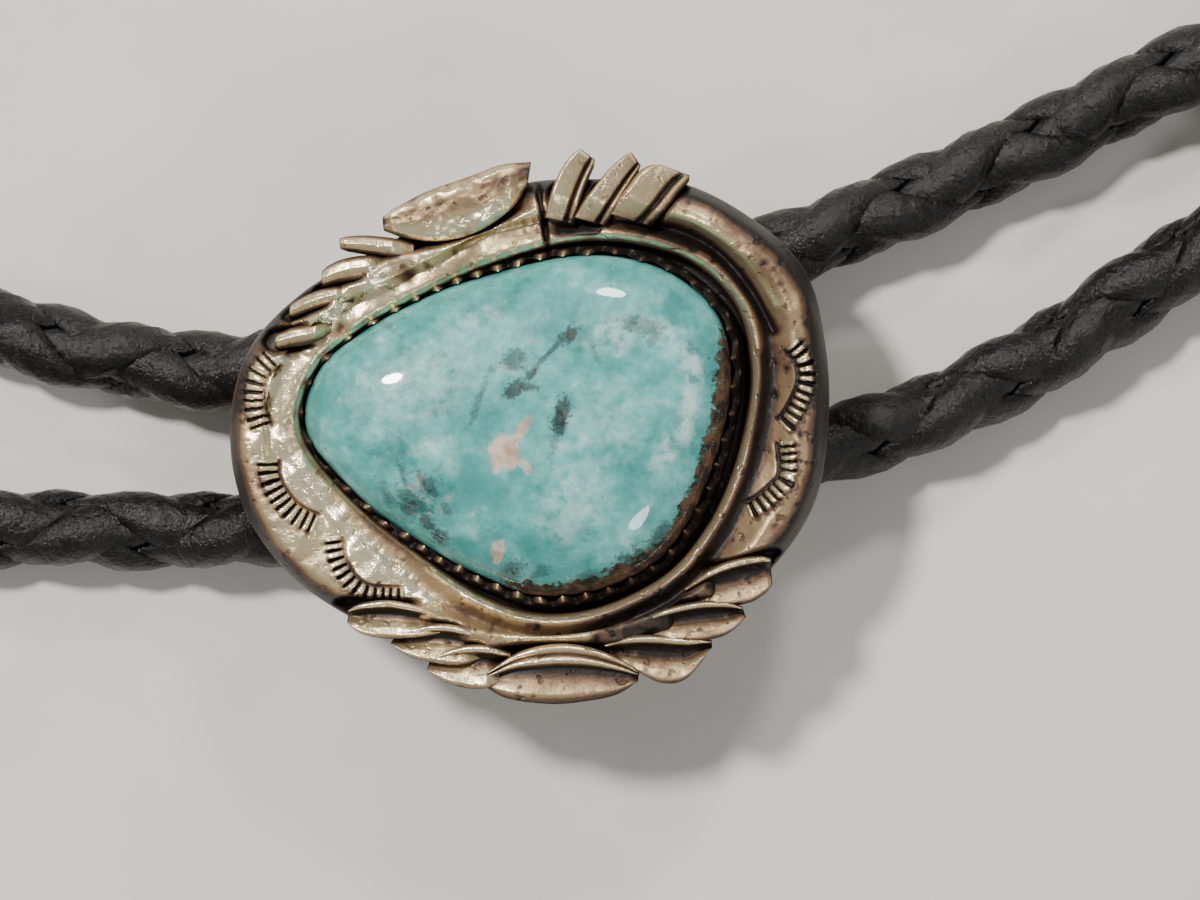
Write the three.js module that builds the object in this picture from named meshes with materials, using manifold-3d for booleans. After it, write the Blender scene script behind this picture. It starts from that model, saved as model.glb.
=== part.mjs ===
// A bolo tie lying flat. A silver slide with a domed turquoise stone rides on a round braided
// leather cord. The cord's long side is the neck loop, and its two free tails end in metal tips.
// Millimetres, +Z up. The origin is under the slide's centre, on the flat underside of its clip.

import * as THREE from 'three';
import { mergeVertices } from 'three/addons/utils/BufferGeometryUtils.js';
import Module from 'manifold-3d';

const wasm = await Module();
wasm.setup();

// Gaps and the cord
const gap = 0.3; // between pieces that meet
const cordDiameter = 4.3;
const cordSides = 10;
const cordSteps = 80;

// The hidden clip: a flat block with a channel for each run of the cord
const clipLength = 13; // along the cord
const clipTurn = THREE.MathUtils.degToRad(11.5); // the cord crosses under the slide at this angle
const clipCentreY = 1.45;
const channelSpacing = 9.1; // between the two runs of the cord
const channelRadius = cordDiameter / 2 + gap + 0.05;
const clipWall = 0.7;
const clipHeight = 2 * (channelRadius + clipWall);
const clipCorner = 1.2;

// The slide, from its back plate upwards
const plateBottom = clipHeight + gap;
const plateThickness = 0.8;
const plateTop = plateBottom + plateThickness;
const crestHeight = 3.5; // the rim's crest above the plate's underside
const plateInset = 1; // the plate stops this far inside the rim's outer edge
const seat = 0.1; // soldered pieces sink this far into what carries them
const rimColumns = 72;

// The serrated bezel that holds the stone
const bezelWall = 0.35;
const bezelHeight = 1.9; // above the plate, to the tips of its teeth
const toothDepth = 0.5;
const toothCount = 48;

// The stone
const stoneBottom = plateTop + gap;
const stoneHeight = 4.3;
const stoneColumns = 48;

// The plain metal tips on the free tails
const tipLength = 22;
const tipBore = 10; // how deep the cord goes in
const tipWall = 0.45;
const tipStraight = 11.5; // the taper starts past the bore
const tipEndRadius = 1.7;
const tipSides = 24;

// The slide's edges seen from above, as distances from its centre, turning from +X towards +Y.
// rim is the outer edge of the silver border, lip its raised inner edge, stone the stone's girdle,
// and ridge says how much of the lip stands up: 1 is a full ridge, and 0 slopes down to the bezel.
const edges = [
  { deg: 0, rim: 14.9, lip: 10.9, stone: 9.7, ridge: 1 },
  { deg: 15, rim: 15.3, lip: 11.6, stone: 10.4, ridge: 1 },
  { deg: 30, rim: 15.8, lip: 12.1, stone: 10.9, ridge: 1 },
  { deg: 45, rim: 15.1, lip: 11.7, stone: 10.5, ridge: 1 },
  { deg: 60, rim: 14.2, lip: 10.7, stone: 9.7, ridge: 1 },
  { deg: 75, rim: 12.8, lip: 9.8, stone: 8.8, ridge: 0.8 },
  { deg: 90, rim: 12.2, lip: 9.1, stone: 8.1, ridge: 0.5 },
  { deg: 105, rim: 11.6, lip: 8.8, stone: 7.8, ridge: 0.2 },
  { deg: 120, rim: 11.4, lip: 9.0, stone: 8, ridge: 0 },
  { deg: 135, rim: 11.9, lip: 9.5, stone: 8.5, ridge: 0 },
  { deg: 150, rim: 13.2, lip: 10.5, stone: 9.5, ridge: 0 },
  { deg: 165, rim: 14.5, lip: 11.8, stone: 10.8, ridge: 0 },
  { deg: 180, rim: 14.9, lip: 12.1, stone: 11.1, ridge: 0 },
  { deg: 195, rim: 14.8, lip: 10.7, stone: 9.7, ridge: 0 },
  { deg: 210, rim: 14.1, lip: 9.6, stone: 8.6, ridge: 0 },
  { deg: 225, rim: 13.1, lip: 8.9, stone: 7.9, ridge: 0.2 },
  { deg: 240, rim: 12.2, lip: 8.7, stone: 7.7, ridge: 0.6 },
  { deg: 255, rim: 12.1, lip: 8.9, stone: 7.8, ridge: 1 },
  { deg: 270, rim: 12.1, lip: 9.4, stone: 8.3, ridge: 1 },
  { deg: 285, rim: 12.3, lip: 9.7, stone: 8.6, ridge: 1 },
  { deg: 300, rim: 12.7, lip: 9.9, stone: 8.9, ridge: 1 },
  { deg: 315, rim: 13.3, lip: 10.2, stone: 9.2, ridge: 1 },
  { deg: 330, rim: 14, lip: 10.3, stone: 9.2, ridge: 1 },
  { deg: 345, rim: 14.7, lip: 10.5, stone: 9.3, ridge: 1 },
];

// Cross-sections, as corners in order. Each corner lies at share times one edge's distance, plus
// out, and at height z above the plate's underside, plus ridge times that edge's ridge column.
const rimSection = [
  { edge: 'rim', share: 1, out: -0.6, z: 0, ridge: 0 },
  { edge: 'rim', share: 1, out: 0, z: 1.2, ridge: 0 },
  { edge: 'rim', share: 1, out: -0.2, z: 2.3, ridge: 0 },
  { edge: 'rim', share: 1, out: -0.8, z: crestHeight - 0.1, ridge: 0 },
  { edge: 'rim', share: 1, out: -1.7, z: crestHeight, ridge: 0 },
  { edge: 'lip', share: 1, out: 1, z: 2.7, ridge: -0.3 },
  { edge: 'lip', share: 1, out: 0.3, z: 2.2, ridge: 0.8 },
  { edge: 'lip', share: 1, out: -0.1, z: 1.9, ridge: 0.8 },
  { edge: 'lip', share: 1, out: -0.1, z: plateThickness - seat, ridge: 0 },
  { edge: 'rim', share: 1, out: -1.9, z: 0, ridge: 0 },
];

const stoneSection = [
  { edge: 'stone', share: 0, out: 0, z: 0 },
  { edge: 'stone', share: 1, out: -0.2, z: 0 },
  { edge: 'stone', share: 1, out: 0, z: 0.3 },
  { edge: 'stone', share: 1, out: 0, z: 1.2 },
  { edge: 'stone', share: 0.97, out: 0, z: 2 },
  { edge: 'stone', share: 0.87, out: 0, z: 2.9 },
  { edge: 'stone', share: 0.7, out: 0, z: 3.6 },
  { edge: 'stone', share: 0.45, out: 0, z: 4.1 },
  { edge: 'stone', share: 0.2, out: 0, z: stoneHeight },
  { edge: 'stone', share: 0, out: 0, z: stoneHeight },
];

// Leaves and twigs soldered round the rim. A leaf runs from its base to its tip. Its upper face
// is at top above the plate's underside and falls by drop towards the tip, and blunt is the tip's
// width as a share of the leaf's.
const leaves = [
  // The long leaf, the blades, the twigs, then the petals
  { baseX: -0.3, baseY: 11.7, tipX: -7.4, tipY: 10.2, width: 2.7, top: 4.1, drop: 0.6, blunt: 0.4 },
  { baseX: 0.5, baseY: 10, tipX: 2.7, tipY: 13.5, width: 1.5, top: 4, drop: 0.9, blunt: 0.6 },
  { baseX: 1.6, baseY: 10, tipX: 4.9, tipY: 13.4, width: 1.7, top: 4, drop: 0.9, blunt: 0.6 },
  { baseX: 4, baseY: 10.3, tipX: 7.8, tipY: 12.6, width: 1.6, top: 4, drop: 0.9, blunt: 0.6 },
  { baseX: -4.5, baseY: 8.9, tipX: -9.5, tipY: 9, width: 1, top: 3.9, drop: 0.5, blunt: 0.8 },
  { baseX: -6.3, baseY: 8.2, tipX: -10.3, tipY: 7.4, width: 1.1, top: 3.9, drop: 0.5, blunt: 0.8 },
  { baseX: -8, baseY: 6.8, tipX: -11.8, tipY: 5.8, width: 1, top: 3.9, drop: 0.5, blunt: 0.8 },
  { baseX: -9.8, baseY: 4.9, tipX: -12.6, tipY: 4.2, width: 1, top: 3.9, drop: 0.4, blunt: 0.8 },
  { baseX: -4.2, baseY: -9.1, tipX: -9.1, tipY: -9.5, width: 2, top: 3.8, drop: 0.8, blunt: 0.2 },
  { baseX: -1.6, baseY: -10.4, tipX: -6.7, tipY: -11.3, width: 2.4, top: 3.6, drop: 0.9, blunt: 0.2 },
  { baseX: -2.2, baseY: -12.1, tipX: 5.3, tipY: -12.2, width: 3, top: 3.3, drop: 0, blunt: 0.1 },
  { baseX: 4.2, baseY: -10.9, tipX: 9, tipY: -10.9, width: 2.2, top: 3.6, drop: 0.8, blunt: 0.2 },
  { baseX: 6.2, baseY: -9.3, tipX: 10.5, tipY: -9.2, width: 2, top: 3.8, drop: 0.8, blunt: 0.2 },
  { baseX: 8.6, baseY: -7.6, tipX: 12.3, tipY: -7, width: 2, top: 3.8, drop: 0.7, blunt: 0.2 },
];
const leafThickness = 1.7;
const leafBevel = 0.25;

// The cord's centreline from one tail's end, under the slide, round the neck loop and back
const floorZ = cordDiameter / 2 + 0.03; // the centreline where the cord lies on the surface
const tipZ = floorZ + gap + tipWall; // and where a tip does
const clipZ = clipHeight / 2; // the centreline inside the clip
const route = [
  [46.4, 23.6, tipZ], [34.4, 18.8, tipZ], [24, 13.7, 2.4], [14.2, 9.5, 3.05],
  [8.2, 7.8, clipZ], [-0.2, 6.05, clipZ], [-8.6, 4.3, clipZ],
  [-14.4, 2.9, 3], [-20, 3.35, 2.4], [-27, 5.05, floorZ],
  [-48, 12, floorZ], [-79, 25, floorZ], [-118, 45, floorZ], [-158, 71, floorZ], [-198, 95, floorZ],
  [-236, 105, floorZ], [-271, 98, floorZ], [-300, 78, floorZ], [-319, 49, floorZ],
  [-325, 17, floorZ], [-319, -15, floorZ], [-300, -44, floorZ], [-271, -64, floorZ],
  [-236, -71, floorZ], [-197, -63, floorZ], [-158, -46, floorZ], [-118, -27.5, floorZ],
  [-81, -13.5, floorZ], [-49, -6.9, floorZ], [-27, -5.2, floorZ],
  [-20, -5.25, 2.4], [-14.4, -5.1, 3], [-8.2, -4.7, clipZ], [0.4, -3.15, clipZ], [8.8, -1.45, clipZ],
  [15.4, -0.9, 3.05], [24.5, 2.8, 2.4], [35.2, 9.9, tipZ], [46.4, 16.4, tipZ],
].map(([x, y, z]) => new THREE.Vector3(x, y, z));

const silver = new THREE.MeshStandardMaterial({ color: '#b3a283', roughness: 0.38, metalness: 1 });
const turquoise = new THREE.MeshStandardMaterial({ color: '#6fbab3', roughness: 0.22, metalness: 0 });
const plainMetal = new THREE.MeshStandardMaterial({ color: '#a6a39c', roughness: 0.35, metalness: 1 });
const blackLeather = new THREE.MeshStandardMaterial({ color: '#1b1a19', roughness: 0.5, metalness: 0 });

// One column of the edge table at any angle, as a smooth closed curve through its rows.
function edgeAt(column, angle) {
  const step = (2 * Math.PI) / edges.length;
  const place = THREE.MathUtils.euclideanModulo(angle, 2 * Math.PI) / step;
  const row = Math.floor(place);
  const t = place - row;
  const [before, here, next, after] = [-1, 0, 1, 2].map(
    (shift) => edges[(row + shift + edges.length) % edges.length][column],
  );
  const bend = 2 * before - 5 * here + 4 * next - after;
  const turn = 3 * (here - next) + after - before;
  return here + 0.5 * t * (next - before + t * (bend + t * turn));
}

function outlineShape(column, out, columns) {
  const corners = Array.from({ length: columns }, (_, i) => {
    const angle = (2 * Math.PI * i) / columns;
    const distance = edgeAt(column, angle) + out;
    return new THREE.Vector2(distance * Math.cos(angle), distance * Math.sin(angle));
  });
  return new THREE.Shape(corners);
}

// A section turned on a lathe, whose corners then move out to the slide's own edges. A section
// that doesn't start on the axis closes on itself. lift raises a corner in one column of the ring.
function turnedToEdges(section, columns, lift = () => 0) {
  const onAxis = section[0].share === 0;
  const corners = onAxis ? section : [...section, section[0]];
  const profile = corners.map((corner, row) => new THREE.Vector2(corner.share, row));
  const ring = new THREE.LatheGeometry(profile, columns);
  const place = ring.attributes.position;
  for (let i = 0; i < place.count; i += 1) {
    const column = Math.floor(i / corners.length) % columns;
    const corner = corners[i % corners.length];
    const angle = (2 * Math.PI * column) / columns;
    const distance = corner.share * edgeAt(corner.edge, angle) + corner.out;
    const height = corner.z + (corner.ridge ?? 0) * edgeAt('ridge', angle) + lift(corner, column);
    place.setXYZ(i, distance * Math.cos(angle), distance * Math.sin(angle), height);
  }
  return ring;
}

function asSolid(geometry) {
  const bare = geometry.clone();
  bare.deleteAttribute('normal');
  bare.deleteAttribute('uv');
  const merged = mergeVertices(bare);
  return new wasm.Manifold(new wasm.Mesh({
    numProp: 3,
    vertProperties: new Float32Array(merged.attributes.position.array),
    triVerts: new Uint32Array(merged.index.array),
  }));
}

function asGeometry(solid) {
  const mesh = solid.getMesh();
  const geometry = new THREE.BufferGeometry();
  geometry.setAttribute('position', new THREE.BufferAttribute(mesh.vertProperties, mesh.numProp));
  geometry.setIndex(new THREE.BufferAttribute(mesh.triVerts, 1));
  geometry.computeVertexNormals();
  return geometry;
}

function namedMesh(name, geometry, material) {
  const mesh = new THREE.Mesh(geometry, material);
  mesh.name = name;
  return mesh;
}

// An oval plate with a pointed base, a blunt tip and a bevelled edge, laid from base to tip.
function leafGeometry({ baseX, baseY, tipX, tipY, width, top, drop, blunt }) {
  const length = Math.hypot(tipX - baseX, tipY - baseY);
  const half = width / 2 - leafBevel;
  const belly = 1.3 * half;
  const outline = new THREE.Shape();
  outline.bezierCurveTo(0.1 * length, belly, 0.75 * length, belly, length, blunt * half);
  outline.lineTo(length, -blunt * half);
  outline.bezierCurveTo(0.75 * length, -belly, 0.1 * length, -belly, 0, 0);
  const leaf = new THREE.ExtrudeGeometry(outline, {
    depth: leafThickness - 2 * leafBevel,
    curveSegments: 6,
    bevelThickness: leafBevel,
    bevelSize: leafBevel,
    bevelSegments: 1,
  });
  leaf.translate(0, 0, leafBevel - leafThickness);
  leaf.rotateY(Math.atan2(drop, length));
  leaf.rotateZ(Math.atan2(tipY - baseY, tipX - baseX));
  return leaf.translate(baseX, baseY, top);
}

function bezelGeometry() {
  const inner = gap;
  const outer = gap + bezelWall;
  const foot = plateThickness - seat;
  const teeth = plateThickness + bezelHeight;
  const section = [
    { edge: 'stone', share: 1, out: outer, z: foot },
    { edge: 'stone', share: 1, out: outer, z: teeth, tooth: true },
    { edge: 'stone', share: 1, out: inner, z: teeth, tooth: true },
    { edge: 'stone', share: 1, out: inner, z: foot },
  ];
  const notch = (corner, column) => (corner.tooth && column % 2 ? -toothDepth : 0);
  return turnedToEdges(section, 2 * toothCount, notch);
}

// Back plate, domed rim, bezel and leaves, all soldered into one piece of silver.
function slideBody() {
  const plate = new THREE.ExtrudeGeometry(outlineShape('rim', -plateInset, rimColumns), {
    depth: plateThickness,
    bevelEnabled: false,
  });
  const parts = [turnedToEdges(rimSection, rimColumns), bezelGeometry(), ...leaves.map(leafGeometry)];
  const body = parts.map(asSolid).reduce((whole, part) => whole.add(part), asSolid(plate));
  const mesh = namedMesh('slide_body', asGeometry(body), silver);
  mesh.position.z = plateBottom;
  return mesh;
}

function turquoiseStone() {
  const mesh = namedMesh('turquoise_stone', turnedToEdges(stoneSection, stoneColumns), turquoise);
  mesh.position.z = stoneBottom;
  return mesh;
}

function cordClip() {
  const halfWidth = channelSpacing / 2 + channelRadius + clipWall;
  const block = new THREE.Shape();
  block.moveTo(-halfWidth, 0);
  block.lineTo(halfWidth, 0);
  block.lineTo(halfWidth, clipHeight - clipCorner);
  block.quadraticCurveTo(halfWidth, clipHeight, halfWidth - clipCorner, clipHeight);
  block.lineTo(clipCorner - halfWidth, clipHeight);
  block.quadraticCurveTo(-halfWidth, clipHeight, -halfWidth, clipHeight - clipCorner);
  for (const side of [-1, 1]) {
    const channel = new THREE.Path();
    channel.absarc((side * channelSpacing) / 2, clipHeight / 2, channelRadius, 0, 2 * Math.PI);
    block.holes.push(channel);
  }
  const geometry = new THREE.ExtrudeGeometry(block, {
    depth: clipLength,
    curveSegments: 12,
    bevelEnabled: false,
  });
  geometry.translate(0, 0, -clipLength / 2);
  const mesh = namedMesh('cord_clip', geometry, plainMetal);
  mesh.rotation.set(Math.PI / 2, Math.PI / 2, 0); // the channels run along the group's X
  const turned = new THREE.Group();
  turned.rotation.z = clipTurn;
  turned.position.y = clipCentreY;
  return turned.add(mesh);
}

function braidedCord() {
  const section = new THREE.Shape();
  section.absarc(0, 0, cordDiameter / 2, 0, 2 * Math.PI);
  const round = section.getSpacedPoints(cordSides).slice(0, cordSides);
  const geometry = new THREE.ExtrudeGeometry(new THREE.Shape(round), {
    steps: cordSteps,
    extrudePath: new THREE.CatmullRomCurve3(route, false, 'catmullrom', 0.5),
  });
  return namedMesh('braided_cord', geometry, blackLeather);
}

// A tapered cup over the cord's end. The cord stops short of the bottom of the bore.
function cordTip(name, end, before) {
  const bore = cordDiameter / 2 + gap;
  const mouth = bore + tipWall;
  const profile = [
    [0, tipBore], [bore, tipBore], [bore, 0], [mouth - 0.1, 0], [mouth, 0.2], [mouth, tipStraight],
    [tipEndRadius, tipLength - 1.2], [tipEndRadius - 0.7, tipLength - 0.2], [0, tipLength],
  ].map(([radius, along]) => new THREE.Vector2(radius, along));
  const mesh = namedMesh(name, new THREE.LatheGeometry(profile, tipSides), plainMetal);
  const along = end.clone().sub(before).normalize();
  mesh.quaternion.setFromUnitVectors(new THREE.Vector3(0, 1, 0), along);
  mesh.position.copy(end).addScaledVector(along, gap - tipBore);
  return mesh;
}

const slide = new THREE.Group();
slide.add(slideBody(), turquoiseStone(), cordClip());

const cord = new THREE.Group();
cord.add(
  braidedCord(),
  cordTip('cord_tip_upper', route.at(0), route.at(1)),
  cordTip('cord_tip_lower', route.at(-1), route.at(-2)),
);

const boloTie = new THREE.Group();
boloTie.add(slide, cord);

export default boloTie;
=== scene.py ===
from math import cos, pi, radians, sin, tau

import bmesh
import bpy
import numpy as np
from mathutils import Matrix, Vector, noise


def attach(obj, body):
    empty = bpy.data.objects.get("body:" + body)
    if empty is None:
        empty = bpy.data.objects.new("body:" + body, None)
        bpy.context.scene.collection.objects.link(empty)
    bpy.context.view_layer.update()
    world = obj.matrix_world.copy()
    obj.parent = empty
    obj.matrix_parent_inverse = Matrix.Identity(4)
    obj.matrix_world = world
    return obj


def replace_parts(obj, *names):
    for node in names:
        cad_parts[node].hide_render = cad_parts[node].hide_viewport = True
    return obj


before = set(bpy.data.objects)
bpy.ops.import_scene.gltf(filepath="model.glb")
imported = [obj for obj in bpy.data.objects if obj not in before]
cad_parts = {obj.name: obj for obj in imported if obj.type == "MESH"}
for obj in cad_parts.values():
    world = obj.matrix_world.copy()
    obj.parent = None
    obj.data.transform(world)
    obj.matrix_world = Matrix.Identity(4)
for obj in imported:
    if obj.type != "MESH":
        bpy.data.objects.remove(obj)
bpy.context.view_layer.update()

mm = 0.001
gap = 0.3  # between one piece and the next, mm

# shader helpers


class Signal:
    # one value in a shader. Arithmetic on it adds Math nodes
    def __init__(self, finish, socket):
        self.finish = finish
        self.socket = socket

    def __add__(self, other):
        return self.finish.maths("ADD", self, other)

    def __radd__(self, other):
        return self.finish.maths("ADD", other, self)

    def __sub__(self, other):
        return self.finish.maths("SUBTRACT", self, other)

    def __rsub__(self, other):
        return self.finish.maths("SUBTRACT", other, self)

    def __mul__(self, other):
        return self.finish.maths("MULTIPLY", self, other)

    def __rmul__(self, other):
        return self.finish.maths("MULTIPLY", other, self)

    def atMost(self, other):
        return self.finish.maths("MINIMUM", self, other)

    def atLeast(self, other):
        return self.finish.maths("MAXIMUM", self, other)

    def rise(self, low, high):  # 0 below low, 1 above high, and smooth between
        return self.finish.node(
            "ShaderNodeMapRange", {"interpolation_type": "SMOOTHSTEP"},
            {"Value": self, "From Min": low, "From Max": high},
        )


class Finish:
    # a material, with short ways to build it
    def __init__(self, name):
        self.material = bpy.data.materials.new(name)
        self.material.use_nodes = True
        self.tree = self.material.node_tree
        self.surface = self.tree.nodes["Principled BSDF"]
        self.place = self.node("ShaderNodeTexCoord", out="Object")

    def node(self, kind, settings={}, inputs={}, out=0):
        made = self.tree.nodes.new(kind)
        for name, value in settings.items():
            if name == "stops":
                ramp = made.color_ramp
                while len(ramp.elements) < len(value):
                    ramp.elements.new(1)
                for element, (position, colour) in zip(ramp.elements, value):
                    element.position = position
                    element.color = colour
            else:
                setattr(made, name, value)
        for name, value in inputs.items():
            if isinstance(value, Signal):
                self.tree.links.new(value.socket, made.inputs[name])
            else:
                made.inputs[name].default_value = value
        return Signal(self, made.outputs[out])

    def maths(self, operation, *values):
        return self.node("ShaderNodeMath", {"operation": operation}, dict(enumerate(values)))

    def attribute(self, name):
        return self.node("ShaderNodeAttribute", {"attribute_name": name}, out="Fac")

    def grain(self, size, detail=4, rough=0.6, stretch=(1, 1, 1), shift=(0, 0, 0)):
        # noise whose features are about size mm across
        place = self.node(
            "ShaderNodeMapping", {}, {"Vector": self.place, "Location": shift, "Scale": stretch}
        )
        return self.node(
            "ShaderNodeTexNoise", {},
            {"Vector": place, "Scale": 1 / (size * mm), "Detail": detail, "Roughness": rough},
        )

    def mix(self, share, first, second):
        return self.node("ShaderNodeMix", {"data_type": "RGBA"}, {0: share, 6: first, 7: second}, 2)

    def ramp(self, share, stops):
        return self.node("ShaderNodeValToRGB", {"stops": stops}, {"Fac": share})

    def bump(self, height, depth):  # depth in mm
        return self.node(
            "ShaderNodeBump", {}, {"Height": height, "Strength": 1.0, "Distance": depth * mm}
        )

    def wear(self, **sockets):
        for name, value in sockets.items():
            socket = self.surface.inputs[socketNames[name]]
            if isinstance(value, Signal):
                self.tree.links.new(value.socket, socket)
            else:
                socket.default_value = value
        return self.material


socketNames = {
    "colour": "Base Color", "rough": "Roughness", "metal": "Metallic", "normal": "Normal",
    "coat": "Coat Weight", "coatRough": "Coat Roughness", "specular": "Specular IOR Level",
}


def tint(red, green, blue):  # a colour given as 0 to 255 on screen
    return tuple(
        (v / 255 / 12.92 if v <= 10 else ((v / 255 + 0.055) / 1.055) ** 2.4)
        for v in (red, green, blue)
    ) + (1,)


# shape helpers


def smoothLine(points, steps, closed=False):
    # Catmull-Rom through the points, steps to a span. An open line's end spans run on straight
    p = np.array(points, float)
    if closed:
        p = np.vstack([p[-1], p, p[:2]])
    else:
        p = np.vstack([2 * p[0] - p[1], p, 2 * p[-1] - p[-2]])
    t = np.arange(steps)[:, None] / steps
    spans = []
    for a, b, c, d in zip(p[:-3], p[1:-2], p[2:-1], p[3:]):
        spans.append(
            b + 0.5 * t * (c - a) + t**2 * (a - 2.5 * b + 2 * c - 0.5 * d)
            + t**3 * (1.5 * (b - c) + 0.5 * (d - a))
        )
    line = np.vstack(spans)
    return line if closed else np.vstack([line, p[-2]])


def nearLine(points, x, y):
    # signed distance from a line (left of its direction is positive) and length along it, mm
    best = np.full(x.shape, 1e9)
    side = np.zeros(x.shape)
    along = np.zeros(x.shape)
    run = 0
    for (ax, ay), (bx, by) in zip(points[:-1], points[1:]):
        dx, dy = bx - ax, by - ay
        length = np.hypot(dx, dy)
        if length == 0:
            continue
        t = np.clip(((x - ax) * dx + (y - ay) * dy) / length**2, 0, 1)
        away = np.hypot(x - ax - t * dx, y - ay - t * dy)
        turn = (dx * (y - ay) - dy * (x - ax)) / length
        closer = away < best
        best = np.where(closer, away, best)
        side = np.where(closer, np.sign(turn), side)
        along = np.where(closer, run + t * length, along)
        run += length
    return best * side, along, run


def hump(value, width):  # 1 at zero and falling away smoothly over width
    return np.exp(-(value / width) ** 2)


def ease(value, low, high):
    t = np.clip((value - low) / (high - low), 0, 1)
    return t * t * (3 - 2 * t)


def grainAt(x, y, size, seed=0):  # smooth noise from -1 to 1 over a flat place
    pairs = zip(x.ravel(), y.ravel())
    flat = [noise.noise(Vector((a / size, b / size, seed))) for a, b in pairs]
    return np.array(flat).reshape(x.shape)


def readPlaces(mesh):
    co = np.zeros(len(mesh.vertices) * 3, np.float32)
    mesh.vertices.foreach_get("co", co)
    return co.reshape(-1, 3).astype(float)


def keepAttribute(mesh, name, values):
    layer = mesh.attributes.new(name, "FLOAT", "POINT")
    layer.data.foreach_set("value", np.asarray(values, np.float32))


def finishPiece(name, mesh, material):
    piece = bpy.data.objects.new(name, mesh)
    bpy.context.scene.collection.objects.link(piece)
    mesh.materials.clear()
    mesh.materials.append(material)
    mesh.polygons.foreach_set("use_smooth", [True] * len(mesh.polygons))
    mesh.update()
    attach(piece, "root")
    return piece


def spunRows(name, rows, columns, closedSection=False):
    # a ring of rows of vertices round the Z axis. A vertex keeps its row in its height
    bm = bmesh.new()
    chain = [bm.verts.new((1, 0, row)) for row in range(rows)]
    edges = [bm.edges.new(pair) for pair in zip(chain[:-1], chain[1:])]
    if closedSection:
        edges.append(bm.edges.new((chain[-1], chain[0])))
    bmesh.ops.spin(
        bm, geom=chain + edges, cent=(0, 0, 0), axis=(0, 0, 1), angle=tau,
        steps=columns, use_merge=True,
    )
    mesh = bpy.data.meshes.new(name)
    bm.to_mesh(mesh)
    bm.free()
    co = readPlaces(mesh)
    return mesh, np.arctan2(co[:, 1], co[:, 0]), np.rint(co[:, 2]).astype(int)


def settle(mesh, x, y, z):
    # puts the vertices at x, y, z in mm, joins doubles and turns the faces outwards
    co = np.column_stack([x, y, z]) * mm
    mesh.vertices.foreach_set("co", co.astype(np.float32).ravel())
    bm = bmesh.new()
    bm.from_mesh(mesh)
    bmesh.ops.remove_doubles(bm, verts=bm.verts, dist=2e-7)
    bmesh.ops.recalc_face_normals(bm, faces=bm.faces)
    bm.to_mesh(mesh)
    bm.free()


# camera, light and floor

view = {
    "across": 3.53, "up": -1.14, "height": 300,  # mm
    "lens": 175.5, "keyPower": 3.6, "fillPower": 0.9, "rimPower": 1.2, "sky": 0.34,
    "floor": tint(222, 220, 214),
}

camera = bpy.data.objects.new("camera", bpy.data.cameras.new("camera"))
bpy.context.scene.collection.objects.link(camera)
camera.location = Vector((view["across"], view["up"], view["height"])) * mm
camera.data.lens = view["lens"]
camera.data.sensor_width = 36
camera.data.clip_start = 0.01
bpy.context.scene.camera = camera


def softLight(name, place, size, power, colour=(1, 1, 1)):
    lamp = bpy.data.lights.new(name, "AREA")
    lamp.shape = "DISK"
    lamp.size = size
    lamp.energy = power
    lamp.color = colour
    holder = bpy.data.objects.new(name, lamp)
    bpy.context.scene.collection.objects.link(holder)
    holder.location = place
    holder.rotation_euler = (-Vector(place)).to_track_quat("-Z", "Y").to_euler()


softLight("keyLight", (-0.24, 0.20, 0.46), 0.07, view["keyPower"], (1, 0.97, 0.92))
softLight("fillLight", (0.36, -0.30, 0.45), 0.11, view["fillPower"], (0.95, 0.97, 1))
softLight("topLight", (0.10, 0.42, 0.36), 0.08, view["rimPower"], (1, 0.98, 0.95))

world = bpy.data.worlds.new("studio")
world.use_nodes = True
world.node_tree.nodes["Background"].inputs["Color"].default_value = (1, 0.985, 0.96, 1)
world.node_tree.nodes["Background"].inputs["Strength"].default_value = view["sky"]
bpy.context.scene.world = world

paper = Finish("palePaper")
mottle = paper.grain(9, 3, 0.5)
paper.wear(
    colour=paper.mix(mottle.rise(0.3, 0.7), tint(216, 214, 208), view["floor"]),
    rough=0.9, specular=0.2,
)
bm = bmesh.new()
bmesh.ops.create_grid(bm, x_segments=1, y_segments=1, size=3)
floorMesh = bpy.data.meshes.new("floor")
bm.to_mesh(floorMesh)
bm.free()
floorMesh.materials.append(paper.material)
floor = bpy.data.objects.new("floor", floorMesh)
bpy.context.scene.collection.objects.link(floor)
print("camera, light and floor set")

# materials

silver = Finish("agedSilver")
# the attribute read here holds real tarnish together with painted shade and painted highlight, and
# it sets the silver's colour
tarnish = silver.attribute("tarnish")
speckle = silver.grain(0.22, 5, 0.65)
cloud = silver.grain(2.6, 4, 0.6)
scratch = silver.grain(0.5, 3, 0.6, stretch=(1, 5, 1))
pit = silver.grain(0.55, 2, 0.5, shift=(0.3, 0.1, 0))
dirtAndShade = 0.04 + tarnish + (speckle - 0.5) * 0.22 + (cloud - 0.5) * 0.24 + pit.rise(0.6, 0.72) * 0.18
silver.wear(
    colour=silver.ramp(dirtAndShade, [
        (0.0, tint(255, 243, 210)), (0.24, tint(238, 220, 178)), (0.46, tint(180, 156, 120)),
        (0.68, tint(102, 77, 58)), (0.95, tint(28, 21, 16)),
    ]),
    metal=0.86 - dirtAndShade.rise(0.25, 0.9) * 0.6,
    rough=0.22 + dirtAndShade.rise(0.1, 0.8) * 0.3 + (speckle - 0.5) * 0.2,
    normal=silver.bump(
        speckle * 0.35 + cloud * 0.9 + scratch * 0.25 - pit.rise(0.6, 0.72) * 0.8, 0.06
    ),
)

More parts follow.
